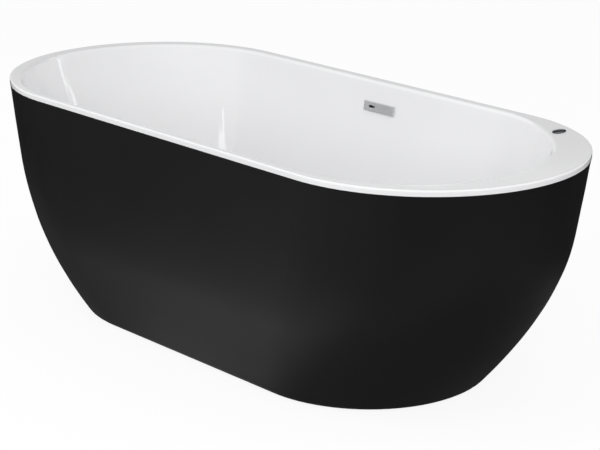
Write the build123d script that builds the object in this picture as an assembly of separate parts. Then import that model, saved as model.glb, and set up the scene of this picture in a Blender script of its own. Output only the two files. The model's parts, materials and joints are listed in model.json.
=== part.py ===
from build123d import *
import math
import os

# A freestanding double-skin bath, in millimetres. X runs along the bath, +Y is the side
# with the overflow, and Z is up from the floor, with the origin under the middle of the bath.

# Overall size
bath_length = 1700.0
bath_width = 765.0
bath_height = 585.0
floor_gap = 4.0

# Outer skirt: the wall leans in evenly from the seam and tucks in further towards its foot.
# A tuck's start is a share of the skirt's height, from 0 at the seam to 1 at the foot.
skirt_wall = 4.0
end_lean = 101.0
end_tuck = 158.0
end_tuck_start = 0.34
end_tuck_power = 1.7
side_lean = 20.0
side_tuck = 68.0
side_tuck_start = 0.55
side_tuck_power = 2.0
skirt_foot_round = 30.0
skirt_flange = 50.0
skirt_steps = 12
skirt_step_power = 1.3

# Basin: rim, deck, walls and floor. A wall leans in by its tilt in degrees at the rim and more
# the deeper it goes, until its curve has drawn it in by that much again at the floor.
side_tilt = 2.7
side_curve = 100.0
end_tilt = 20.0
end_curve = 50.0
lip_height = 14.0
lip_wall = 6.0
lip_round = 4.0
rim_side = 24.0
rim_left = 30.0
deck_right = 99.0
deck_fall = 8.0
deck_thickness = 6.0
rim_round = 9.0
shell_wall = 5.0
bowl_steps = 6
floor_height = 150.0
floor_thickness = 10.0
floor_round = 110.0

# Base board and the two leg bars
board_length = 940.0
board_width = 380.0
board_thickness = 15.0
board_hole_radius = 52.0
bar_width = 40.0
bar_depth = 25.0
bar_wall = 2.5
bar_spacing = 740.0
board_screws_per_bar = 4
board_screw_bite = 12.0

# Levelling feet
foot_inset = 40.0
thread_radius = 6.0
foot_nut_length = 30.0
foot_nut_flats = 19.0
lock_nut_length = 7.0
stem_top_gap = 5.0
foot_hex_flats = 17.0
foot_hex_height = 8.0
pad_radius = 25.0
pad_edge = 5.0
pad_height = 22.0
pad_neck_radius = 11.0
pad_socket_depth = 12.0

# Straps from the bars to the skirt's flange
strap_width = 30.0
strap_thickness = 3.0
strap_tab = 22.0
strap_foot = 27.0
strap_leg_gap = 6.0
screw_radius = 2.5
screw_head_radius = 5.0
screw_head_height = 3.0

# Overflow on the far wall
overflow_x = -14.0
overflow_drop = 69.0
cover_length = 105.0
cover_height = 26.0
cover_depth = 5.5
cover_round = 1.2
groove_length = 58.0
groove_height = 8.0
groove_depth = 1.5
groove_shift = -4.0
slot_length = 19.0
slot_height = 6.0
channel_depth = 2.5
mouth_length = 64.0
mouth_height = 12.0
stud_spacing = 86.0
stud_radius = 2.5
stud_nut_flats = 8.0
stud_nut_height = 4.0
overflow_gasket_thickness = 2.0
overflow_flange = 2.5
overflow_plate_length = 100.0
overflow_plate_height = 23.0
chamber_length = 72.0
chamber_height = 20.0
chamber_depth = 11.0
chamber_drop = 54.0
chamber_wall = 2.0
spigot_length = 26.0

# Overflow hose
hose_radius = 10.5
hose_wall = 1.8
hose_bend = 110.0
spigot_wall = 2.0
clip_width = 8.0
clip_thickness = 1.0

# Waste fitting through the basin's floor
flange_radius = 35.0
flange_thickness = 3.0
waste_gasket_thickness = 2.0
tail_radius = 24.0
waste_bore_radius = 21.0
tail_length = 29.0
lower_gasket_thickness = 4.0
lower_gasket_radius = 38.0
body_flange_thickness = 4.0
body_radius = 29.0
body_length = 40.0
inlet_drop = 24.0
inlet_reach = 30.0
spider_arms = 3
spider_arm_width = 5.0
spider_height = 5.0

# Trap under the waste
trap_ground_gap = 10.0
trap_lid_radius = 52.0
trap_lid_thickness = 4.0
trap_seal_thickness = 2.0
trap_rim_height = 4.0
trap_cup_radius = 46.0
trap_wall = 3.0
dip_clearance = 5.0
outlet_radius = 20.0
outlet_wall = 2.5
outlet_length = 50.0
outlet_drop = 11.0
outlet_stop_width = 6.0
outlet_stop_height = 3.0
trap_nut_wall = 4.0
trap_nut_lip = 4.0
trap_nut_grips = 24
trap_nut_grip_radius = 3.0
trap_nut_grip_depth = 1.4

# Press-to-open plug
plug_lift = 9.0
cap_radius = 31.0
cap_edge = 2.5
cap_crown = 2.5
plug_seal_radius = 27.0
plug_seal_inner_radius = 17.0
plug_seal_thickness = 2.0
plug_stem_radius = 4.0
stem_collar_radius = 5.4
stem_collar_height = 4.0
cartridge_radius = 9.0
cartridge_bore_radius = 6.0
cartridge_length = 41.0
cartridge_end = 4.0
cartridge_top_gap = 7.0
spring_radius = 4.4
spring_wire_radius = 0.6
spring_turns = 4

# Blank badge on the deck
badge_angle = 67.6
badge_inset = 34.0
badge_radius = 16.0
badge_edge = 1.2
badge_crown = 2.0

# Clearances
seat_gap = 0.3
thread_gap = 0.3
hole_gap = 1.0
slide_gap = 0.3
screw_gap = 0.2

# How far a short cut runs past the face it opens, and how far a deep one reaches
overcut = 1.0
tool_reach = 20.0

# Heights worked out from the sizes above
seam_z = bath_height - lip_height
basin_depth = bath_height - floor_height
floor_under_z = floor_height - floor_thickness
board_under_z = floor_under_z - board_thickness
web_under_z = board_under_z - bar_wall
foot_nut_under_z = web_under_z - foot_nut_length
flange_top_z = floor_gap + skirt_wall
waste_seat_z = floor_height - flange_thickness - waste_gasket_thickness
body_top_z = floor_under_z - lower_gasket_thickness
tail_under_z = floor_height - flange_thickness - tail_length
inlet_z = body_top_z - body_flange_thickness - inlet_drop
lid_top_z = body_top_z - body_length - body_flange_thickness
lid_under_z = lid_top_z - trap_lid_thickness
rim_top_z = lid_under_z - trap_seal_thickness
cup_rim_under_z = rim_top_z - trap_rim_height
outlet_z = cup_rim_under_z - outlet_drop - outlet_radius
seal_top_z = floor_height + plug_seal_thickness
cartridge_top_z = floor_height - cartridge_top_gap
cartridge_under_z = cartridge_top_z - cartridge_length
guide_under_z = cartridge_top_z - cartridge_end
collar_top_z = guide_under_z - plug_lift - seat_gap
stem_under_z = collar_top_z - stem_collar_height
spring_under_z = cartridge_under_z + cartridge_end
hose_bore_radius = hose_radius - hose_wall
spigot_radius = hose_bore_radius - seat_gap

# Basin edges at the top of the rim
left_edge = -bath_length / 2 + rim_left
right_edge = bath_length / 2 - deck_right
side_edge = bath_width / 2 - rim_side
deck_slope = math.tan(math.radians(deck_fall))
end_straight = bath_length / 2 - bath_width / 2

# The skirt's foot opening and what reaches to its edge
opening_length = bath_length / 2 - end_lean - end_tuck - skirt_flange
opening_width = bath_width / 2 - side_lean - side_tuck - skirt_flange
strap_beyond = max(bar_spacing / 2 + strap_width / 2 - opening_length + opening_width, 0)
bar_half = math.sqrt(opening_width**2 - strap_beyond**2) - strap_leg_gap
foot_y = bar_half - foot_inset
strap_tab_y = bar_half - strap_tab / 2
strap_screw_y = bar_half + strap_foot / 2
board_screw_reach = foot_y - foot_inset


def wall_inset(depth, tilt, curve):
    """How far in from the rim the basin's wall lies at a depth below the rim."""
    return depth * math.tan(math.radians(tilt)) + curve * (depth / basin_depth) ** 2


# The far wall at the overflow: its local Z points into the bath and its local Y up the wall
tilt = math.atan(math.tan(math.radians(side_tilt)) + 2 * side_curve * overflow_drop / basin_depth**2)
overflow_y = side_edge - wall_inset(overflow_drop, side_tilt, side_curve)
overflow_z = bath_height - overflow_drop
wall_plane = Plane(
    origin=(overflow_x, overflow_y, overflow_z),
    x_dir=(1, 0, 0),
    z_dir=(0, -math.cos(tilt), math.sin(tilt)),
)
wall_back = -shell_wall * math.cos(tilt)
gasket_front = wall_back - seat_gap
gasket_back = gasket_front - overflow_gasket_thickness
flange_back = gasket_back - overflow_flange
chamber_back = flange_back - chamber_depth
funnel_end = -chamber_height / 2 - chamber_drop
hose_top = funnel_end - seat_gap
waste_axis = Pos(overflow_x, 0, 0)


def oval(x_left, x_right, half_width, z):
    """A level face with two straight sides and two half-round ends."""
    return Pos((x_left + x_right) / 2, 0, z) * SlotOverall(x_right - x_left, 2 * half_width)


def outline(inset, z):
    """The bath's outer oval, drawn in by inset."""
    return oval(-bath_length / 2 + inset, bath_length / 2 - inset, bath_width / 2 - inset, z)


def disc(radius, low, high):
    return Pos(0, 0, low) * extrude(Circle(radius), high - low)


def ring(outer_radius, inner_radius, low, high):
    return Pos(0, 0, low) * extrude(Circle(outer_radius) - Circle(inner_radius), high - low)


def hexagon(flats, low, high):
    return Pos(0, 0, low) * extrude(RegularPolygon(flats / 2, 6, major_radius=False), high - low)


def nut(flats, bore_radius, low, high):
    """A hexagonal nut with a plain bore."""
    return hexagon(flats, low, high) - disc(bore_radius, low - overcut, high + overcut)


def screw_hole(low, high):
    return disc(screw_radius + screw_gap, low, high)


def plate(length, height, low, high):
    """A rectangular block in the wall's own frame, between two depths."""
    return Pos(0, 0, low) * extrude(Rectangle(length, height), high - low)


def skirt_depth(z):
    """How far down the skirt a height lies: 0 at the seam and 1 at the foot."""
    return (seam_z - z) / (seam_z - floor_gap)


def setback(z, lean, tuck, start, power):
    """How far in from the seam the skirt's wall lies at one height."""
    depth = skirt_depth(z)
    tucked = max(depth - start, 0) / (1 - start)
    return lean * depth + tuck * tucked**power


def skirt_half_length(z):
    return bath_length / 2 - setback(z, end_lean, end_tuck, end_tuck_start, end_tuck_power)


def skirt_half_width(z):
    return bath_width / 2 - setback(z, side_lean, side_tuck, side_tuck_start, side_tuck_power)


def skirt_section(z, inset):
    """The skirt's outline at one height, drawn in by inset."""
    half_length = skirt_half_length(z) - inset
    return oval(-half_length, half_length, skirt_half_width(z) - inset, z)


def skirt_form(inset, low_z):
    """The skirt's form as a solid, closed at low_z with a rounded foot."""
    sections = []
    for step in range(skirt_steps + 1):
        rise = (step / skirt_steps) ** skirt_step_power
        sections.append(skirt_section(low_z + rise * (seam_z - low_z), inset))
    form = loft(sections)
    foot_edges = form.faces().sort_by(Axis.Z)[0].edges()
    return fillet(foot_edges, skirt_foot_round - inset)


def outer_skirt():
    shell = skirt_form(0, floor_gap) - skirt_form(skirt_wall, flange_top_z)
    foot = skirt_section(floor_gap, skirt_flange)
    shell -= extrude(foot, flange_top_z, dir=(0, 0, 1))
    for place in strap_places():
        shell -= place * Pos(0, strap_screw_y, 0) * screw_hole(0, flange_top_z + overcut)
    return shell


def bowl_section(z, grow):
    """The basin's wall outline at one height."""
    depth = bath_height - z
    end_inset = wall_inset(depth, end_tilt, end_curve) - grow
    side_inset = wall_inset(depth, side_tilt, side_curve) - grow
    return oval(left_edge + end_inset, right_edge - end_inset, side_edge - side_inset, z)


def bowl(grow, top_z, low_z):
    """The basin's hollow, or its outside when grow is the wall's thickness."""
    rise = (top_z - low_z) / bowl_steps
    form = loft([bowl_section(low_z + step * rise, grow) for step in range(bowl_steps + 1)])
    floor_edges = form.faces().sort_by(Axis.Z)[0].edges()
    return fillet(floor_edges, floor_round + grow)


def deck_inset(point):
    """How far a point lies inside the bath's outer oval."""
    beyond = max(abs(point.X) - end_straight, 0)
    return bath_width / 2 - math.hypot(beyond, point.Y)


def deck_z(inset):
    return bath_height - inset * deck_slope


def deck_funnel(drop):
    """The space above a surface that falls evenly inwards from the outer oval."""
    reach = max(rim_side, rim_left, deck_right) + tool_reach
    bottom = outline(reach, deck_z(reach) - drop)
    top = outline(0, bath_height - drop)
    return loft([bottom, top], ruled=True)


def basin_blank():
    """Deck, lip and bowl as one shell, before rounding and drilling."""
    slab = deck_funnel(deck_thickness) + extrude(outline(0, bath_height - deck_thickness), deck_thickness)
    lip = extrude(outline(0, seam_z) - outline(lip_wall, seam_z), lip_height - deck_thickness / 2)
    shell = slab + lip + bowl(shell_wall, bath_height, floor_under_z)
    shell -= deck_funnel(0)
    return shell - bowl(0, bath_height + tool_reach, floor_height)


def rim_edges(shell):
    """The deck's inner edge, where it turns down into the bowl."""
    found = []
    for edge in shell.edges():
        point = edge.position_at(0.5)
        inset = deck_inset(point)
        on_deck = abs(point.Z - deck_z(inset)) < seat_gap
        if on_deck and inset > lip_wall and edge.length > deck_right + lip_wall:
            found.append(edge)
    return found


def lip_edges(shell):
    """The deck's outer edge, at the top of the lip."""
    on_top = shell.edges().filter_by_position(Axis.Z, bath_height - seat_gap, bath_height + seat_gap)
    return [edge for edge in on_top if edge.length > deck_right]


def inner_basin():
    shell = basin_blank()
    shell = fillet(rim_edges(shell), rim_round)
    shell = fillet(lip_edges(shell), lip_round)
    shell -= waste_axis * disc(tail_radius + hole_gap, floor_under_z - overcut, floor_height + overcut)
    shell -= waste_axis * disc(flange_radius + hole_gap, waste_seat_z, floor_height + overcut)
    wall_slot = SlotOverall(stud_spacing + mouth_height, mouth_height)
    shell -= wall_plane * extrude(wall_slot, tool_reach, both=True)
    return shell


def bar_places():
    return [Pos(-bar_spacing / 2, 0, 0), Pos(bar_spacing / 2, 0, 0)]


def foot_places():
    """The four feet, two on each leg bar."""
    return [place * Pos(0, side * foot_y, 0) for place in bar_places() for side in (-1, 1)]


def strap_places():
    """The ends of the leg bars, each with its local +Y pointing outwards."""
    return [place * Rot(0, 0, turn) for place in bar_places() for turn in (180, 0)]


def board_screw_ys():
    """Evenly spaced along a bar, between its feet."""
    step = 2 * board_screw_reach / (board_screws_per_bar - 1)
    return [-board_screw_reach + step * number for number in range(board_screws_per_bar)]


def base_board():
    middle = (left_edge + right_edge) / 2
    board = Pos(middle, 0, board_under_z) * extrude(SlotOverall(board_length, board_width), board_thickness)
    board -= waste_axis * disc(board_hole_radius, board_under_z - overcut, floor_under_z + overcut)
    pilot = screw_hole(board_under_z - overcut, board_under_z + board_screw_bite + screw_gap)
    for place in bar_places():
        for y in board_screw_ys():
            board -= place * Pos(0, y, 0) * pilot
    return board


def leg_bar():
    """A steel channel, open below, with holes for its screws."""
    length = 2 * bar_half
    block = Box(bar_width, length, bar_depth)
    hollow = Box(bar_width - 2 * bar_wall, length + overcut, bar_depth)
    bar = Pos(0, 0, board_under_z - bar_depth / 2) * block - Pos(0, 0, web_under_z - bar_depth / 2) * hollow
    for y in (*board_screw_ys(), -strap_tab_y, strap_tab_y):
        bar -= Pos(0, y, 0) * screw_hole(web_under_z - overcut, board_under_z + overcut)
    return bar


def screw(length):
    """A pan-head screw: its head is below Z 0 and its shank goes up."""
    head = disc(screw_head_radius, -screw_head_height, 0)
    head = fillet(head.edges().sort_by(Axis.Z)[0], screw_head_height / 2)
    return head + disc(screw_radius, 0, length)


def board_screws():
    one = screw(bar_wall + board_screw_bite)
    return [place * Pos(0, y, web_under_z) * one for place in bar_places() for y in board_screw_ys()]


def skirt_strap():
    """A bent steel strap: a tab under the bar, a leg down and a foot on the skirt's flange."""
    inside = bar_half - strap_tab
    outside = bar_half + strap_foot
    under_tab = web_under_z - strap_thickness
    over_foot = flange_top_z + strap_thickness
    side = Polyline(
        (inside, web_under_z),
        (bar_half, web_under_z),
        (bar_half, over_foot),
        (outside, over_foot),
        (outside, flange_top_z),
        (bar_half - strap_thickness, flange_top_z),
        (bar_half - strap_thickness, under_tab),
        (inside, under_tab),
        close=True,
    )
    strap = extrude(Plane.YZ * make_face(side), strap_width / 2, both=True)
    strap -= Pos(0, strap_tab_y, 0) * screw_hole(under_tab - overcut, web_under_z + overcut)
    strap -= Pos(0, strap_screw_y, 0) * screw_hole(flange_top_z - overcut, over_foot + overcut)
    return strap


def strap_screws():
    """One screw up through each strap's tab and one down through its foot."""
    up = screw(strap_thickness + bar_wall - screw_gap)
    down = Rot(180, 0, 0) * screw(strap_thickness + skirt_wall - screw_gap)
    found = []
    for place in strap_places():
        found.append(place * Pos(0, strap_tab_y, web_under_z - strap_thickness) * up)
        found.append(place * Pos(0, strap_screw_y, flange_top_z + strap_thickness) * down)
    return found


def foot_nut():
    return nut(foot_nut_flats, thread_radius + thread_gap, foot_nut_under_z, web_under_z)


def lock_nut():
    low = foot_nut_under_z - lock_nut_length
    return nut(foot_nut_flats, thread_radius + thread_gap, low, foot_nut_under_z)


def foot_stem():
    """A threaded stem with a hexagon to turn it by and a plain end in the pad."""
    tip = pad_height - pad_socket_depth + seat_gap
    stem = disc(thread_radius, tip, web_under_z - stem_top_gap)
    return stem + hexagon(foot_hex_flats, pad_height, pad_height + foot_hex_height)


def foot_pad():
    """A turned foot: a flat base, a cone and a neck with a socket for the stem."""
    socket = pad_height - pad_socket_depth
    bore = thread_radius + slide_gap
    side = Polyline(
        (0, 0),
        (pad_radius, 0),
        (pad_radius, pad_edge),
        (pad_neck_radius, pad_height - pad_edge),
        (pad_neck_radius, pad_height),
        (bore, pad_height),
        (bore, socket),
        (0, socket),
        close=True,
    )
    return revolve(Plane.XZ * make_face(side), Axis.Z)


def overflow_cover():
    """The chrome plate: rounded edges, a shallow groove, a slot through it and a channel behind."""
    cover = plate(cover_length, cover_height, seat_gap, seat_gap + cover_depth)
    front = cover.faces().sort_by(Axis.Z)[-1]
    cover = fillet(front.edges(), cover_round)
    face_z = seat_gap + cover_depth
    channel_z = seat_gap + channel_depth
    channel_length = mouth_length + mouth_height / 2
    groove = plate(groove_length, groove_height, face_z - groove_depth, face_z + overcut)
    cover -= Pos(groove_shift, 0, 0) * groove
    cover -= plate(channel_length, cover_height - 2 * channel_depth, 0, channel_z)
    slot_x = groove_shift - groove_length / 2 + slot_length / 2
    cover -= Pos(slot_x, 0, 0) * plate(slot_length, slot_height, 0, face_z + overcut)
    for x in stud_xs():
        cover += Pos(x, 0, 0) * disc(stud_radius, flange_back - stud_nut_height, channel_z)
    return wall_plane * cover


def stud_xs():
    return [-stud_spacing / 2, stud_spacing / 2]


def stud_holes(low, high):
    return [Pos(x, 0, 0) * disc(stud_radius + screw_gap, low, high) for x in stud_xs()]


def mouth(low):
    """The slot that the water takes through the gasket and the body's flange."""
    return Pos(0, 0, low) * extrude(SlotOverall(mouth_length, mouth_height), tool_reach)


def overflow_gasket():
    gasket = plate(overflow_plate_length, overflow_plate_height, gasket_back, gasket_front)
    gasket -= mouth(gasket_back - overcut)
    for hole in stud_holes(gasket_back - overcut, 0):
        gasket -= hole
    return wall_plane * gasket


def spigot_depth():
    """The depth behind the wall's face that is midway between the basin and the skirt at the hose's clip."""
    clip_z = overflow_z + (hose_top - clip_width) * math.cos(tilt)
    basin_y = side_edge - wall_inset(bath_height - clip_z, side_tilt, side_curve) + shell_wall
    skirt_y = skirt_half_width(clip_z) - skirt_wall
    middle = Vector(overflow_x, (basin_y + skirt_y) / 2, clip_z)
    return wall_plane.to_local_coords(middle).Z


def facing_down(y, depth):
    """A plane in the wall's own frame that looks down the wall."""
    return Plane(origin=(0, y, depth), x_dir=(1, 0, 0), z_dir=(0, -1, 0))


def funnel(inset):
    """The part of the water box that narrows from its flat chamber to the round spigot."""
    level = facing_down(-chamber_height / 2, flange_back - chamber_depth / 2)
    end = facing_down(funnel_end, spigot_depth())
    flat = level * Rectangle(chamber_length - 2 * inset, chamber_depth - 2 * inset)
    return loft([flat, end * Circle(spigot_radius - inset)])


def overflow_body():
    """A slim water box behind the wall, which narrows to a spigot for the hose."""
    body = plate(overflow_plate_length, overflow_plate_height, flange_back, gasket_back)
    body += plate(chamber_length, chamber_height, chamber_back, flange_back)
    down = Pos(0, funnel_end, spigot_depth()) * Rot(90, 0, 0)
    body += funnel(0)
    body += down * disc(spigot_radius, 0, spigot_length)
    inner = plate(
        chamber_length - 2 * chamber_wall,
        chamber_height - chamber_wall,
        chamber_back + chamber_wall,
        flange_back - chamber_wall,
    )
    body -= Pos(0, -chamber_wall / 2, 0) * inner
    body -= funnel(chamber_wall)
    body -= down * disc(spigot_radius - spigot_wall, 0, spigot_length + overcut)
    body -= mouth(flange_back - chamber_wall - overcut)
    for hole in stud_holes(flange_back - overcut, 0):
        body -= hole
    return wall_plane * body


def overflow_nuts():
    one = nut(stud_nut_flats, stud_radius + thread_gap, flange_back - stud_nut_height, flange_back)
    return [wall_plane * Pos(x, 0, 0) * one for x in stud_xs()]


def hose_path():
    """Down along the basin's wall, then level to the waste body's inlet."""
    start = wall_plane.from_local_coords(Vector(0, hose_top, spigot_depth()))
    down = -wall_plane.y_dir
    corner = start + down * ((start.Z - inlet_z) / -down.Z)
    end = Vector(overflow_x, body_radius + seat_gap, inlet_z)
    return FilletPolyline(start, corner, end, radius=hose_bend)


def overflow_hose():
    path = hose_path()
    section = Circle(hose_radius) - Circle(hose_bore_radius)
    return sweep(Plane(path @ 0, z_dir=path % 0) * section, path=path)


def hose_clips():
    """One band at each end of the hose."""
    path = hose_path()
    band = ring(hose_radius + seat_gap + clip_thickness, hose_radius + seat_gap, 0, clip_width)
    first = Plane(path @ 0, z_dir=path % 0) * Pos(0, 0, clip_width / 2) * band
    last = Plane(path @ 1, z_dir=-(path % 1)) * Pos(0, 0, clip_width / 2) * band
    return [first, last]


def waste_flange():
    """The chrome ring in the floor, its threaded tail and the spider that holds the cartridge."""
    low = floor_height - flange_thickness
    flange = ring(flange_radius, waste_bore_radius, low, floor_height)
    flange += ring(tail_radius, waste_bore_radius, tail_under_z, low)
    spider = ring(cartridge_radius + spider_arm_width, cartridge_radius + thread_gap, 0, spider_height)
    reach = waste_bore_radius + overcut
    arm = Pos(reach / 2, 0, spider_height / 2) * Box(reach, spider_arm_width, spider_height)
    for number in range(spider_arms):
        spider += Rot(0, 0, 360 / spider_arms * number) * arm
    spider -= disc(cartridge_radius + thread_gap, -overcut, spider_height + overcut)
    return waste_axis * (flange + Pos(0, 0, tail_under_z) * spider)


def waste_gasket_upper():
    high = waste_seat_z + waste_gasket_thickness
    return waste_axis * ring(flange_radius, tail_radius + hole_gap, waste_seat_z, high)


def waste_gasket_lower():
    return waste_axis * ring(lower_gasket_radius, tail_radius + hole_gap, body_top_z, floor_under_z)


def waste_body():
    """Under the floor: a socket for the tail, the overflow's inlet, the trap's lid and its dip tube."""
    dip_under_z = trap_ground_gap + trap_wall + dip_clearance
    body = disc(lower_gasket_radius + hole_gap, body_top_z - body_flange_thickness, body_top_z)
    body += disc(body_radius, lid_top_z, body_top_z)
    body += disc(trap_lid_radius, lid_under_z, lid_top_z)
    body += disc(tail_radius, dip_under_z, lid_top_z)
    inlet = Pos(0, 0, inlet_z) * Rot(-90, 0, 0)
    inlet_end = body_radius + inlet_reach
    body += inlet * disc(spigot_radius, 0, inlet_end)
    body -= disc(waste_bore_radius, dip_under_z - overcut, body_top_z + overcut)
    body -= disc(tail_radius + thread_gap, tail_under_z - thread_gap, body_top_z + overcut)
    body -= inlet * disc(spigot_radius - spigot_wall, 0, inlet_end + overcut)
    return waste_axis * body


def trap_seal():
    outer = trap_lid_radius - trap_nut_wall
    return waste_axis * ring(outer, trap_cup_radius - trap_wall, rim_top_z, lid_under_z)


def trap_cup():
    """A closed cup with a rim for its nut and, towards -X, the outlet spigot with a stop for the pipe."""
    cup = disc(trap_cup_radius, trap_ground_gap, rim_top_z)
    cup += disc(trap_lid_radius, cup_rim_under_z, rim_top_z)
    outlet = Pos(0, 0, outlet_z) * Rot(0, -90, 0)
    stop = trap_cup_radius + outlet_stop_width
    cup += outlet * disc(outlet_radius + outlet_stop_height, 0, stop)
    cup += outlet * disc(outlet_radius, 0, stop + outlet_length)
    cup -= disc(trap_cup_radius - trap_wall, trap_ground_gap + trap_wall, rim_top_z + overcut)
    cup -= outlet * disc(outlet_radius - outlet_wall, 0, stop + outlet_length + overcut)
    return waste_axis * cup


def trap_nut():
    """The ring nut that draws the cup's rim up to the lid, with hollows round it for the hand."""
    inner = trap_lid_radius + thread_gap
    low = cup_rim_under_z - trap_nut_lip
    outer = inner + trap_nut_wall
    body = ring(outer, inner, low, lid_top_z)
    body += ring(inner, trap_cup_radius + seat_gap, low, cup_rim_under_z)
    grip = Pos(outer + trap_nut_grip_radius - trap_nut_grip_depth, 0, 0)
    grip *= disc(trap_nut_grip_radius, low - overcut, lid_top_z + overcut)
    for number in range(trap_nut_grips):
        body -= Rot(0, 0, 360 / trap_nut_grips * number) * grip
    return waste_axis * body


def click_cartridge():
    """The plug's guide: a closed tube screwed into the flange's spider."""
    body = disc(cartridge_radius, cartridge_under_z, cartridge_top_z)
    body -= disc(cartridge_bore_radius, spring_under_z, guide_under_z)
    body -= disc(plug_stem_radius + slide_gap, spring_under_z, cartridge_top_z + overcut)
    return waste_axis * body


def spring_point(turn):
    """A point on the spring's coil and the coil's direction there, with turn in whole turns."""
    low = spring_under_z + spring_wire_radius
    rise = (stem_under_z - spring_wire_radius - low) / spring_turns
    angle = 2 * math.pi * turn
    point = Vector(spring_radius * math.cos(angle), spring_radius * math.sin(angle), low + rise * turn)
    circle = 2 * math.pi * spring_radius
    along = Vector(-circle * math.sin(angle), circle * math.cos(angle), rise)
    return point, along.normalized()


def plug_spring():
    """A round-wire coil, drawn as pairs of arcs that keep the coil's direction every quarter turn."""
    arcs = []
    for quarter in range(4 * spring_turns):
        start, start_way = spring_point(quarter / 4)
        end, end_way = spring_point((quarter + 1) / 4)
        chord = end - start
        way = start_way + end_way
        bend = 2 * (start_way.dot(end_way) - 1)
        reach = chord.dot(way) - math.sqrt(chord.dot(way) ** 2 - bend * chord.dot(chord))
        reach /= bend
        before = start + start_way * reach
        after = end - end_way * reach
        middle = (before + after) * 0.5
        arcs.append(TangentArc(start, middle, tangent=start_way))
        arcs.append(TangentArc(middle, end, tangent=after - before))
    path = Wire(arcs)
    return waste_axis * sweep(Plane(path @ 0, z_dir=path % 0) * Circle(spring_wire_radius), path=path)


def domed_disc(radius, low, edge, crown):
    """A round cap with an upright edge and a gentle dome on it."""
    top = low + edge + crown
    side = Polyline((0, top), (0, low), (radius, low), (radius, low + edge))
    dome = TangentArc((0, top), (radius, low + edge), tangent=(1, 0))
    return revolve(Plane.XZ * make_face([side, dome]), Axis.Z)


def plug_cap():
    """The chrome cap over the drain."""
    cap = domed_disc(cap_radius, seal_top_z, cap_edge, cap_crown)
    return waste_axis * (cap - disc(plug_stem_radius + seat_gap, seal_top_z - overcut, seal_top_z + cap_edge))


def plug_seal():
    return waste_axis * ring(plug_seal_radius, plug_seal_inner_radius, floor_height, seal_top_z)


def plug_stem():
    """The plug's rod, with a collar that the cartridge's guide stops at full lift."""
    rod = disc(plug_stem_radius, stem_under_z, seal_top_z + cap_edge - seat_gap)
    return waste_axis * (rod + disc(stem_collar_radius, stem_under_z, collar_top_z))


def rim_badge():
    """A plain cap on the deck, square to the deck's fall."""
    radius = bath_width / 2 - badge_inset
    angle = math.radians(badge_angle)
    outward = Vector(math.cos(angle), math.sin(angle), 0)
    centre = Vector(end_straight, 0, deck_z(badge_inset)) + outward * radius
    fall = math.radians(deck_fall)
    normal = Vector(0, 0, math.cos(fall)) - outward * math.sin(fall)
    return Plane(origin=centre, z_dir=normal) * domed_disc(badge_radius, seat_gap, badge_edge, badge_crown)


def save(name, shape):
    """Write one node: a single piece, or a list of equal pieces."""
    if isinstance(shape, list):
        shape = Compound(children=shape)
    export_step(shape, f"parts/{name}.step")


os.makedirs("parts", exist_ok=True)

save("inner_basin", inner_basin())
save("outer_skirt", outer_skirt())
save("base_board", base_board())
for name, place in zip(("leg_bar_left", "leg_bar_right"), bar_places()):
    save(name, place * leg_bar())
save("board_screws", board_screws())
for number, place in enumerate(strap_places(), 1):
    save(f"skirt_strap_{number}", place * skirt_strap())
save("strap_screws", strap_screws())
save("foot_nuts", [place * foot_nut() for place in foot_places()])
save("lock_nuts", [place * lock_nut() for place in foot_places()])
for number, place in enumerate(foot_places(), 1):
    save(f"foot_stem_{number}", place * foot_stem())
    save(f"foot_pad_{number}", place * foot_pad())
save("overflow_cover", overflow_cover())
save("overflow_gasket", overflow_gasket())
save("overflow_body", overflow_body())
save("overflow_nuts", overflow_nuts())
save("overflow_hose", overflow_hose())
save("hose_clips", hose_clips())
save("waste_flange", waste_flange())
save("waste_gasket_upper", waste_gasket_upper())
save("waste_gasket_lower", waste_gasket_lower())
save("waste_body", waste_body())
save("trap_seal", trap_seal())
save("trap_cup", trap_cup())
save("trap_nut", trap_nut())
save("click_cartridge", click_cartridge())
save("plug_spring", plug_spring())
save("plug_cap", plug_cap())
save("plug_seal", plug_seal())
save("plug_stem", plug_stem())
save("rim_badge", rim_badge())
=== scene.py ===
import json
import math

import bmesh
import bpy
from mathutils import Matrix, Vector


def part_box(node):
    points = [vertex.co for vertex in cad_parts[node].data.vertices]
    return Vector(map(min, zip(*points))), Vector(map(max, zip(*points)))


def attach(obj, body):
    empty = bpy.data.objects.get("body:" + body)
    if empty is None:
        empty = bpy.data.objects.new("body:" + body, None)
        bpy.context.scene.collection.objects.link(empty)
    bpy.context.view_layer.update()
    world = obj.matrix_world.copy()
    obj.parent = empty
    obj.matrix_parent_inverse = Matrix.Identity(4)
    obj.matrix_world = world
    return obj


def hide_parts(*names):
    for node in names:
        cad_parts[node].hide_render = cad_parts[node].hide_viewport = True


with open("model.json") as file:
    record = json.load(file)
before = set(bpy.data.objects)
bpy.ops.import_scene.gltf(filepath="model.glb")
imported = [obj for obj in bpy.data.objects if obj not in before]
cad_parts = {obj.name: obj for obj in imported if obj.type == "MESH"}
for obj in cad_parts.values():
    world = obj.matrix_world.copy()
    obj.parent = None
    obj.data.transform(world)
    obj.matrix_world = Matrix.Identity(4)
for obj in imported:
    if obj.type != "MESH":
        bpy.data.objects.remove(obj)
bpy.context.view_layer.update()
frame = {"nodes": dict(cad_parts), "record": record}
nodes = frame["nodes"]
slot_of = {row["node"]: row["material_slot"] for row in frame["record"]["subparts"]}

# Material grain: the part of a noise's range over which the colour changes, and how much finer
# the grain of the gloss and of the bump is than that of the colour
COLOUR_SPAN = (0.3, 0.7)
GLOSS_GRAIN = 2.3
BUMP_GRAIN = 12

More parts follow.
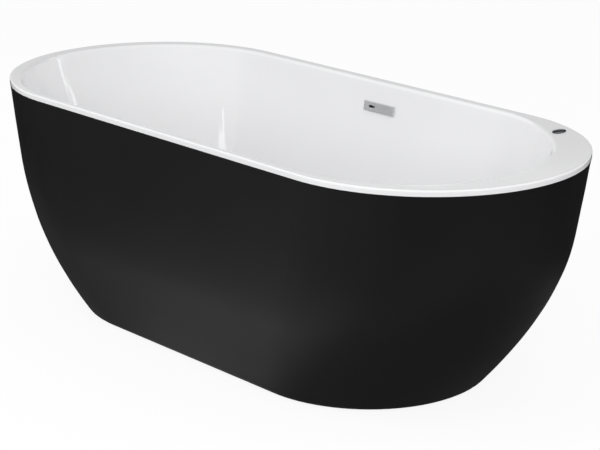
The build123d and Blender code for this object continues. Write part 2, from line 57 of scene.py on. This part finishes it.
# Fine forms that the solids leave plain, in metres
STEM_RADIUS = 0.006
STEM_PITCH = 0.00175
STEM_THREAD_DEPTH = 0.0009
STEM_HEX_FLATS = 0.017
STEM_HEX_LOW, STEM_HEX_HIGH = 0.022, 0.030
EDGE_BREAK = 0.0007
SCREW_RADIUS = 0.0025
SCREW_PITCH = 0.0016
SCREW_THREAD_DEPTH = 0.0006
HEAD_RADIUS = 0.005
# Radius and height of a screw head's outline, from its seat down to its flat end
HEAD_PROFILE = [
    (0.0048, 0.0), (0.005, -0.0003), (0.005, -0.0014), (0.0045, -0.0024), (0.0034, -0.0029), (0.0022, -0.003)
]
RECESS_LENGTH, RECESS_WIDTH, RECESS_DEPTH = 0.0052, 0.0011, 0.0018
# Sides of a round form, of a stem's thread and of a screw's thread, and rings in one turn of a thread
ROUND_SIDES = 32
STEM_SIDES = 24
SCREW_SIDES = 16
TURN_RINGS = 6
# Points of one screw lie within this distance of each other, seen from above
SCREW_REACH = 2.2 * HEAD_RADIUS
# A screw's lower end is its head if points of that end's slice lie further out than this radius
END_SLICE = 0.002
LEAST_HEAD_RADIUS = 0.6 * HEAD_RADIUS

# The camera, as fitted to the photo: angles in degrees, lengths in metres, focal length in pixels
CAMERA_AZIMUTH = 47.24
CAMERA_ELEVATION = 17.41
CAMERA_ROLL = 0.31
CAMERA_DISTANCE = 4.7927
CAMERA_AIM_HEIGHT = 0.304
CAMERA_AIM_RIGHT = 0.04789
CAMERA_AIM_UP = -0.02138
CAMERA_REACH = 100
SENSOR_WIDTH = 36.0
FOCAL_PIXELS = 1951.1
IMAGE_WIDTH = 600

# The studio's floor and soft light
WHITE = (1, 1, 1, 1)
WORLD_TINT = (0.99, 0.99, 1, 1)
WORLD_LIGHT = 0.71
FLOOR_REACH = 30.0
FLOOR_WHITE = 0.90
FLOOR_BOUNCE = 0.34
FLOOR_SPECKLE = 0.03
STUDIO_AIM = (0, 0, 0.4)

# A glowing card behind the bath that only reflections see, a painted reflection in the rim and the badge: its
# place, and its brightness at shares of its height
CARD_SIZE = (7.0, 3.2)
CARD_AZIMUTH, CARD_ELEVATION, CARD_DISTANCE = 227, 26, 4.6
CARD_FADE = [(0.2, 0.73), (0.85, 0.015)]

# A glowing card on the floor that only reflections see, a painted reflection in the black skirt: azimuth and
# brightness, from the left end round by the near side, the right end and the back
FLOOR_CARD_HEIGHT = 0.001
FLOOR_CARD_SHADES = [
    (-90, 0.02), (-60, 0.15), (-20, 0.5), (10, 0.54), (34, 0.44), (50, 0.2), (110, 0.1), (270, 0.02)
]
# Half the length and width of an oval on it, and the strength at shares of the way out to that oval
FLOOR_CARD_OVAL = (3.4, 1.53)
FLOOR_CARD_BAND = [(0.2, 0.5), (0.33, 0.78), (0.42, 1.0), (0.62, 0.22)]

# Wide lamps: azimuth, elevation, width and height, and power in watts
LAMP_DISTANCE = 4.0
FILL_LIGHTS = {
    "front_left": (-40, 20, (1.6, 1.6), 24),
    "front_right": (50, 20, (1.6, 1.6), 53),
    "front_high": (15, 50, (1.6, 1.6), 18),
    "low_left": (-60, -2, (1.6, 0.4), 32),
    "low_right": (130, -2, (1.6, 0.4), 26),
}

# Narrow lamps that the basin's walls show as two streaks: both ends and the width
STREAK_LIGHT = 3.0
STREAKS = {
    "left_high": ((0.600, 2.433, 1.338), (0.685, 2.409, 1.383), 0.023),
    "left_middle": ((0.685, 2.409, 1.380), (0.815, 2.369, 1.447), 0.008),
    "left_low": ((0.815, 2.369, 1.452), (0.955, 2.316, 1.527), 0.030),
    "far_high": ((-0.416, -2.531, 1.401), (-0.394, -2.479, 1.514), 0.07),
    "far_middle": ((-0.394, -2.479, 1.514), (-0.385, -2.455, 1.600), 0.12),
    "far_low": ((-0.420, -2.455, 1.600), (-0.400, -2.400, 1.760), 0.48),
}


class Shader:
    """A material whose nodes are added one by one and joined by name."""

    def __init__(self, name):
        self.material = bpy.data.materials.new(name)
        self.material.use_nodes = True
        self.tree = self.material.node_tree
        self.surface = self.tree.nodes["Principled BSDF"]

    def add(self, kind, **values):
        node = self.tree.nodes.new("ShaderNode" + kind)
        for key, value in values.items():
            setattr(node, key, value)
        return node

    def link(self, source, target):
        self.tree.links.new(source, target)

    def coordinates(self, stretch=(1, 1, 1)):
        """Object coordinates, each axis times its own factor."""
        place = self.add("TexCoord")
        scale = self.add("Mapping")
        scale.inputs["Scale"].default_value = stretch
        self.link(place.outputs["Object"], scale.inputs["Vector"])
        return scale.outputs["Vector"]

    def noise(self, scale, detail=3.0):
        node = self.add("TexNoise")
        node.inputs["Scale"].default_value = scale
        node.inputs["Detail"].default_value = detail
        self.link(self.coordinates(), node.inputs["Vector"])
        return node.outputs["Fac"]

    def ramp(self, factor, stops):
        node = self.add("ValToRGB")
        elements = node.color_ramp.elements
        while len(elements) < len(stops):
            elements.new(0.5)
        for element, (place, colour) in zip(elements, stops):
            element.position = place
            element.color = (*colour, 1)
        self.link(factor, node.inputs["Fac"])
        return node.outputs["Color"]

    def span(self, factor, low, high):
        """A factor between 0 and 1 brought to the range from low to high."""
        node = self.add("MapRange")
        node.inputs["To Min"].default_value = low
        node.inputs["To Max"].default_value = high
        self.link(factor, node.inputs["Value"])
        return node.outputs["Result"]

    def colour(self, output):
        self.link(output, self.surface.inputs["Base Color"])

    def roughness(self, output):
        self.link(output, self.surface.inputs["Roughness"])

    def bump(self, height, distance, strength=1.0):
        node = self.add("Bump")
        node.inputs["Strength"].default_value = strength
        node.inputs["Distance"].default_value = distance
        self.link(height, node.inputs["Height"])
        self.link(node.outputs["Normal"], self.surface.inputs["Normal"])

    def mix(self, factor, first, second):
        """One surface or another, by a factor that is a number or an output."""
        node = self.add("MixShader")
        if isinstance(factor, float):
            node.inputs["Fac"].default_value = factor
        else:
            self.link(factor, node.inputs["Fac"])
        self.link(first, node.inputs[1])
        self.link(second, node.inputs[2])
        return node.outputs[0]

    def set(self, **values):
        for key, value in values.items():
            self.surface.inputs[key.replace("_", " ")].default_value = value

    def finish(self, output):
        """Another output than the plain surface, as the material's result."""
        self.link(output, self.tree.nodes["Material Output"].inputs["Surface"])


def grey(value, tint=0.0):
    """A near-neutral colour, a little bluer with tint."""
    return (value - tint, value, value + tint)


def speckled(name, low, high, rough, scale, bump=0.0, metallic=0.0):
    """A plain surface with soft variation of colour and gloss and, with bump, a fine grain."""
    shader = Shader(name)
    shader.colour(shader.ramp(shader.noise(scale), list(zip(COLOUR_SPAN, (low, high)))))
    shader.roughness(shader.span(shader.noise(scale * GLOSS_GRAIN), *rough))
    shader.set(Metallic=metallic)
    if bump:
        shader.bump(shader.noise(scale * BUMP_GRAIN), bump)
    return shader


def white_acrylic():
    """Gloss white, with the faint waves of a drawn sheet."""
    shader = speckled("white_acrylic", (0.80, 0.80, 0.805), (0.82, 0.82, 0.825), (0.03, 0.05), scale=3.0)
    shader.set(Coat_Weight=0.25, Coat_Roughness=0.03)
    shader.bump(shader.noise(scale=26.0, detail=1.0), distance=0.0002, strength=0.2)
    return shader


def black_acrylic():
    """Satin black, with a very fine grain."""
    shader = speckled("black_acrylic", grey(0.0061), grey(0.0070), (0.33, 0.40), scale=5.0)
    shader.bump(shader.noise(scale=1800.0, detail=2.0), distance=0.00004, strength=0.5)
    return shader


def board():
    """Resin-sealed chipboard."""
    return speckled("board", (0.36, 0.24, 0.13), (0.62, 0.47, 0.29), (0.55, 0.75), scale=120.0, bump=0.0004)


def chrome():
    """Polished chrome with a faint haze."""
    return speckled("chrome", grey(0.70, 0.008), grey(0.76, 0.008), (0.06, 0.13), scale=18.0, metallic=1.0)


def dark_chrome():
    """Chrome coloured much darker, for the badge alone: a painted dark reflection in its colour."""
    low, high = grey(0.10, 0.004), grey(0.13, 0.004)
    return speckled("dark_chrome", low, high, (0.06, 0.13), scale=18.0, metallic=1.0)


def steel():
    """Grey powder coat."""
    return speckled("steel", grey(0.20, 0.006), grey(0.25, 0.006), (0.42, 0.55), scale=60.0, bump=0.0001)


def zinc():
    """Bright zinc plate."""
    return speckled("zinc", grey(0.50, 0.01), grey(0.62, 0.012), (0.22, 0.38), scale=90.0, metallic=1.0)


def seal_rubber():
    return speckled("seal_rubber", grey(0.018), grey(0.03), (0.6, 0.75), scale=70.0, bump=0.0001)


def white_plastic():
    return speckled("white_plastic", grey(0.72), grey(0.77), (0.38, 0.5), scale=30.0, bump=0.00006)


def hose_plastic():
    return speckled("hose_plastic", grey(0.55, 0.01), grey(0.62, 0.01), (0.35, 0.48), scale=30.0)


def brass():
    return speckled("brass", (0.55, 0.38, 0.14), (0.66, 0.48, 0.2), (0.2, 0.34), scale=80.0, metallic=1.0)


def spring_steel():
    return speckled("spring_steel", grey(0.42), grey(0.5), (0.22, 0.35), scale=80.0, metallic=1.0)


def black_plastic():
    return speckled("black_plastic", grey(0.014), grey(0.022), (0.4, 0.55), scale=60.0, bump=0.0001)


def dress(node, material):
    for slot in nodes[node].material_slots:
        slot.material = material


MAKERS = (
    white_acrylic, black_acrylic, board, chrome, dark_chrome, steel, zinc,
    seal_rubber, white_plastic, hose_plastic, brass, spring_steel, black_plastic,
)
materials = {make.__name__: make().material for make in MAKERS}
for node in nodes:
    dress(node, materials[slot_of[node]])
# The badge's darker chrome is a painted dark reflection
dress("rim_badge", materials["dark_chrome"])


def circle(radius, z, count=ROUND_SIDES):
    angles = [2 * math.pi * number / count for number in range(count)]
    return [(radius * math.cos(angle), radius * math.sin(angle), z) for angle in angles]


def hexagon(flats, z):
    return circle(flats / math.sqrt(3), z, count=6)


def thread(radius, pitch, depth, low, high, count):
    """Rings of a screw thread that runs out at both ends."""
    steps = round((high - low) / pitch * TURN_RINGS)
    rings = []
    for step in range(steps + 1):
        z = low + (high - low) * step / steps
        room = min(z - low, high - z)
        ring = []
        for column in range(count):
            phase = (z / pitch - column / count) % 1
            reach = radius - depth + min(depth * abs(2 * phase - 1), room)
            angle = 2 * math.pi * column / count
            ring.append((reach * math.cos(angle), reach * math.sin(angle), z))
        rings.append(ring)
    return rings


def ring_mesh(name, parts):
    """A mesh of closed bodies, each made of rings of points that are joined in order and capped."""
    points, faces = [], []
    for rings in parts:
        count, first = len(rings[0]), len(points)
        for ring in rings:
            points.extend(ring)
        for row in range(len(rings) - 1):
            for column in range(count):
                a = first + row * count + column
                b = first + row * count + (column + 1) % count
                faces.append((a, b, b + count, a + count))
        last = len(points) - count
        faces.append(tuple(first + column for column in reversed(range(count))))
        faces.append(tuple(last + column for column in range(count)))
    mesh = bpy.data.meshes.new(name)
    mesh.from_pydata(points, [], faces)
    mesh.validate()
    return mesh


def linked(name, data):
    """A new object in the scene."""
    obj = bpy.data.objects.new(name, data)
    bpy.context.scene.collection.objects.link(obj)
    return obj


def place_piece(name, mesh, node, body, slot):
    """A fine piece that stands for a plain CAD node."""
    piece = linked(name, mesh)
    mesh.materials.clear()
    mesh.materials.append(materials[slot])
    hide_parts(node)
    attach(piece, body)


def foot_stem(number):
    """A threaded stem with a plain end in its pad and a hexagon to turn it by."""
    node = f"foot_stem_{number}"
    low, high = (Vector(corner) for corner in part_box(node))
    edge = EDGE_BREAK
    plain = [
        circle(STEM_RADIUS - edge, low.z),
        circle(STEM_RADIUS, low.z + edge),
        circle(STEM_RADIUS, STEM_HEX_LOW + edge),
    ]
    grip = [
        hexagon(STEM_HEX_FLATS - 2 * edge, STEM_HEX_LOW),
        hexagon(STEM_HEX_FLATS, STEM_HEX_LOW + edge),
        hexagon(STEM_HEX_FLATS, STEM_HEX_HIGH - edge),
        hexagon(STEM_HEX_FLATS - 2 * edge, STEM_HEX_HIGH),
    ]
    screw = thread(STEM_RADIUS, STEM_PITCH, STEM_THREAD_DEPTH, STEM_HEX_HIGH - edge, high.z, STEM_SIDES)
    mesh = ring_mesh(node + "_thread", [plain, grip, screw])
    middle = (low + high) / 2
    mesh.transform(Matrix.Translation((middle.x, middle.y, 0)))
    place_piece(node + "_thread", mesh, node, f"stem_{number}", "zinc")


def box_mesh(name, length, width, height):
    x, y = length / 2, width / 2
    levels = (-height / 2, height / 2)
    return ring_mesh(name, [[[(-x, -y, z), (x, -y, z), (x, y, z), (-x, y, z)] for z in levels]])


def crossed_head():
    """A pan head below Z 0, with a cross cut into it."""
    outline = [circle(radius, z) for radius, z in reversed(HEAD_PROFILE)]
    head = linked("head", ring_mesh("head", [outline]))
    under = HEAD_PROFILE[-1][1]
    cutters = []
    for turn in (0, math.pi / 2):
        bar = box_mesh("cutter", RECESS_LENGTH, RECESS_WIDTH, 2 * RECESS_DEPTH)
        cutter = linked("cutter", bar)
        cutter.location.z = under
        cutter.rotation_euler.z = turn
        cut = head.modifiers.new("cut", "BOOLEAN")
        cut.operation = "DIFFERENCE"
        cut.solver = "EXACT"
        cut.object = cutter
        cutters.append(cutter)
    bpy.context.view_layer.update()
    mesh = bpy.data.meshes.new_from_object(head.evaluated_get(bpy.context.evaluated_depsgraph_get()))
    for obj in (head, *cutters):
        bpy.data.objects.remove(obj)
    return mesh


def screw_places(node):
    """Each screw of a node: its middle, its two ends and whether its head is below."""
    found = []
    for vertex in nodes[node].data.vertices:
        point = nodes[node].matrix_world @ vertex.co
        for group in found:
            if (point.xy - group[0].xy).length < SCREW_REACH:
                group.append(point)
                break
        else:
            found.append([point])
    places = []
    for group in found:
        low = Vector(min(point[axis] for point in group) for axis in range(3))
        high = Vector(max(point[axis] for point in group) for axis in range(3))
        middle = (low + high) / 2
        under = max((point.xy - middle.xy).length for point in group if point.z < low.z + END_SLICE)
        places.append((middle, low.z, high.z, under > LEAST_HEAD_RADIUS))
    return places


def fine_screws(node, head):
    """All the screws of a node as one piece, with crossed heads and threaded shanks."""
    build = bmesh.new()
    depth = -HEAD_PROFILE[-1][1]
    for middle, low, high, head_below in screw_places(node):
        length = high - low - depth
        rings = thread(SCREW_RADIUS, SCREW_PITCH, SCREW_THREAD_DEPTH, 0, length, SCREW_SIDES)
        shank = ring_mesh("shank", [rings])
        flip = Matrix() if head_below else Matrix.Rotation(math.pi, 4, "X")
        seat = low + depth if head_below else high - depth
        place = Matrix.Translation((middle.x, middle.y, seat)) @ flip
        for mesh in (head, shank):
            copy = mesh.copy()
            copy.transform(place)
            build.from_mesh(copy)
            bpy.data.meshes.remove(copy)
        bpy.data.meshes.remove(shank)
    mesh = bpy.data.meshes.new(node + "_fine")
    build.to_mesh(mesh)
    build.free()
    place_piece(node + "_fine", mesh, node, "bath", "zinc")


for number in range(1, 5):
    foot_stem(number)
screw_head = crossed_head()
fine_screws("board_screws", screw_head)
fine_screws("strap_screws", screw_head)


def direction(azimuth, elevation):
    """From the bath towards the studio; azimuth 0 is the near long side and 90 the wide deck's end."""
    azimuth, elevation = math.radians(azimuth), math.radians(elevation)
    level = math.cos(elevation)
    return Vector((math.sin(azimuth) * level, -math.cos(azimuth) * level, math.sin(elevation)))


def facing(place, aim):
    """The turn that points an object's -Z from its place to an aim."""
    return (Vector(aim) - Vector(place)).to_track_quat("-Z", "Y").to_euler()


def seen_directly(tree):
    """1 for rays of the camera, of mirrors and through glass, and 0 for the rest."""
    path = tree.nodes.new("ShaderNodeLightPath")
    seen = path.outputs["Is Camera Ray"]
    for ray in ("Is Glossy Ray", "Is Transmission Ray"):
        either = tree.nodes.new("ShaderNodeMath")
        either.operation = "MAXIMUM"
        tree.links.new(seen, either.inputs[0])
        tree.links.new(path.outputs[ray], either.inputs[1])
        seen = either.outputs[0]
    return seen


def soft_world():
    """White where the camera or a mirror sees it, and an even soft light otherwise."""
    world = bpy.data.worlds.new("studio")
    bpy.context.scene.world = world
    world.use_nodes = True
    tree = world.node_tree
    tree.nodes.clear()
    output = tree.nodes.new("ShaderNodeOutputWorld")
    mix = tree.nodes.new("ShaderNodeMixShader")
    soft = tree.nodes.new("ShaderNodeBackground")
    white = tree.nodes.new("ShaderNodeBackground")
    soft.inputs["Color"].default_value = WORLD_TINT
    soft.inputs["Strength"].default_value = WORLD_LIGHT
    white.inputs["Color"].default_value = WHITE
    white.inputs["Strength"].default_value = 1
    tree.links.new(seen_directly(tree), mix.inputs["Fac"])
    tree.links.new(soft.outputs[0], mix.inputs[1])
    tree.links.new(white.outputs[0], mix.inputs[2])
    tree.links.new(mix.outputs[0], output.inputs["Surface"])


def flat_object(name, width, height):
    """A level rectangle about the origin."""
    mesh = bpy.data.meshes.new(name)
    x, y = width / 2, height / 2
    mesh.from_pydata([(-x, -y, 0), (x, -y, 0), (x, y, 0), (-x, y, 0)], [], [(0, 1, 2, 3)])
    return linked(name, mesh)


def studio_floor():
    """A wide floor: white with a faint shadow where it is seen, and dimmer in the light it throws back."""
    floor = flat_object("floor", 2 * FLOOR_REACH, 2 * FLOOR_REACH)
    low, high = grey(FLOOR_BOUNCE), grey(FLOOR_BOUNCE + FLOOR_SPECKLE)
    shader = speckled("floor", low, high, (0.85, 0.95), scale=1.5)
    shader.set(Specular_IOR_Level=0.0)
    paper = shader.add("BsdfDiffuse")
    white = shader.add("Emission")
    for node in (paper, white):
        node.inputs["Color"].default_value = WHITE
    seen = shader.mix(FLOOR_WHITE, paper.outputs[0], white.outputs[0])
    shader.finish(shader.mix(seen_directly(shader.tree), shader.surface.outputs[0], seen))
    floor.data.materials.append(shader.material)


def reflection_glow_card(card, shader, shade, strength=None):
    """A glowing card that only mirrors see, a painted reflection, with a brightness that changes across it.
    """
    # The glow paints a reflection: only glossy rays see this card
    glow = shader.add("Emission")
    shader.link(shade, glow.inputs["Color"])
    if strength:
        shader.link(strength, glow.inputs["Strength"])
    shader.finish(glow.outputs[0])
    card.data.materials.append(shader.material)
    card.visible_camera = False
    card.visible_diffuse = False
    card.visible_shadow = False


def grey_stops(shades):
    return [(place, grey(value)) for place, value in shades]


def back_reflection_glow():
    """Behind the bath, a painted reflection as its rim mirrors it: a glow that is grey at the floor and dark
    at the top.
    """
    card = flat_object("back_reflection_glow", *CARD_SIZE)
    card.location = direction(CARD_AZIMUTH, CARD_ELEVATION) * CARD_DISTANCE
    card.rotation_euler = facing(card.location, STUDIO_AIM)
    shader = Shader("back_reflection_glow")
    axes = shader.add("SeparateXYZ")
    shader.link(shader.add("TexCoord").outputs["Generated"], axes.inputs[0])
    reflection_glow_card(card, shader, shader.ramp(axes.outputs["Y"], grey_stops(CARD_FADE)))


def floor_reflection_glow():
    """On the floor, a painted reflection as the skirt mirrors it: a glowing band on the near side, dark at
    the ends and the back.
    """
    card = flat_object("floor_reflection_glow", 2 * FLOOR_REACH, 2 * FLOOR_REACH)
    card.location.z = FLOOR_CARD_HEIGHT
    shader = Shader("floor_reflection_glow")
    around = shader.add("TexGradient", gradient_type="RADIAL")
    shader.link(shader.coordinates(), around.inputs["Vector"])
    # The gradient starts at azimuth -90 and takes one whole turn
    turns = [((azimuth + 90) / 360, value) for azimuth, value in FLOOR_CARD_SHADES]
    reach = shader.add("VectorMath", operation="LENGTH")
    length, width = FLOOR_CARD_OVAL
    shader.link(shader.coordinates((1 / length, 1 / width, 1)), reach.inputs[0])
    shade = shader.ramp(around.outputs["Fac"], grey_stops(turns))
    strength = shader.ramp(reach.outputs["Value"], grey_stops(FLOOR_CARD_BAND))
    reflection_glow_card(card, shader, shade, strength)


def softbox(name, place, size, power):
    """A flat rectangular lamp that faces the bath and that the camera doesn't see."""
    data = bpy.data.lights.new(name, "AREA")
    data.shape = "RECTANGLE"
    data.size, data.size_y = size
    data.energy = power
    lamp = linked(name, data)
    lamp.location = place
    lamp.rotation_euler = facing(place, STUDIO_AIM)
    lamp.visible_camera = False
    return lamp


def fill_light(name, azimuth, elevation, size, power):
    """A wide lamp for even light, which leaves no mark of its own in the gloss."""
    place = direction(azimuth, elevation) * LAMP_DISTANCE + Vector(STUDIO_AIM)
    softbox(name, place, size, power).visible_glossy = False


def strip_light(name, start, end, width, radiance):
    """A narrow lamp between two points, seen as a streak in the gloss."""
    start, end = Vector(start), Vector(end)
    middle = (start + end) / 2
    along = (end - start).normalized()
    back = (middle - Vector(STUDIO_AIM)).normalized()
    across = along.cross(back).normalized()
    back = across.cross(along)
    length = (end - start).length
    lamp = softbox(name, middle, (width, length), radiance * math.pi * width * length)
    lamp.matrix_world = Matrix.Translation(middle) @ Matrix((across, along, back)).transposed().to_4x4()


def studio_camera():
    back = direction(CAMERA_AZIMUTH, CAMERA_ELEVATION)
    azimuth, roll = math.radians(CAMERA_AZIMUTH), math.radians(CAMERA_ROLL)
    level = Vector((math.cos(azimuth), math.sin(azimuth), 0))
    upward = back.cross(level)
    aim = Vector((0, 0, CAMERA_AIM_HEIGHT)) + level * CAMERA_AIM_RIGHT + upward * CAMERA_AIM_UP
    right = level * math.cos(roll) + upward * math.sin(roll)
    up = upward * math.cos(roll) - level * math.sin(roll)
    data = bpy.data.cameras.new("camera")
    data.sensor_width = SENSOR_WIDTH
    data.sensor_fit = "HORIZONTAL"
    data.lens = FOCAL_PIXELS / IMAGE_WIDTH * SENSOR_WIDTH
    data.clip_end = CAMERA_REACH
    camera = linked("camera", data)
    turn = Matrix((right, up, back)).transposed().to_4x4()
    camera.matrix_world = Matrix.Translation(aim + back * CAMERA_DISTANCE) @ turn
    bpy.context.scene.camera = camera


soft_world()
studio_floor()
studio_camera()
# Glowing cards that only reflections see: painted reflections in the rim, the badge and the skirt
back_reflection_glow()
floor_reflection_glow()
for name, (azimuth, elevation, size, power) in FILL_LIGHTS.items():
    fill_light(name, azimuth, elevation, size, power)
for name, (start, end, width) in STREAKS.items():
    strip_light("streak_" + name, start, end, width, STREAK_LIGHT)

bpy.context.scene.view_settings.view_transform = "Standard"
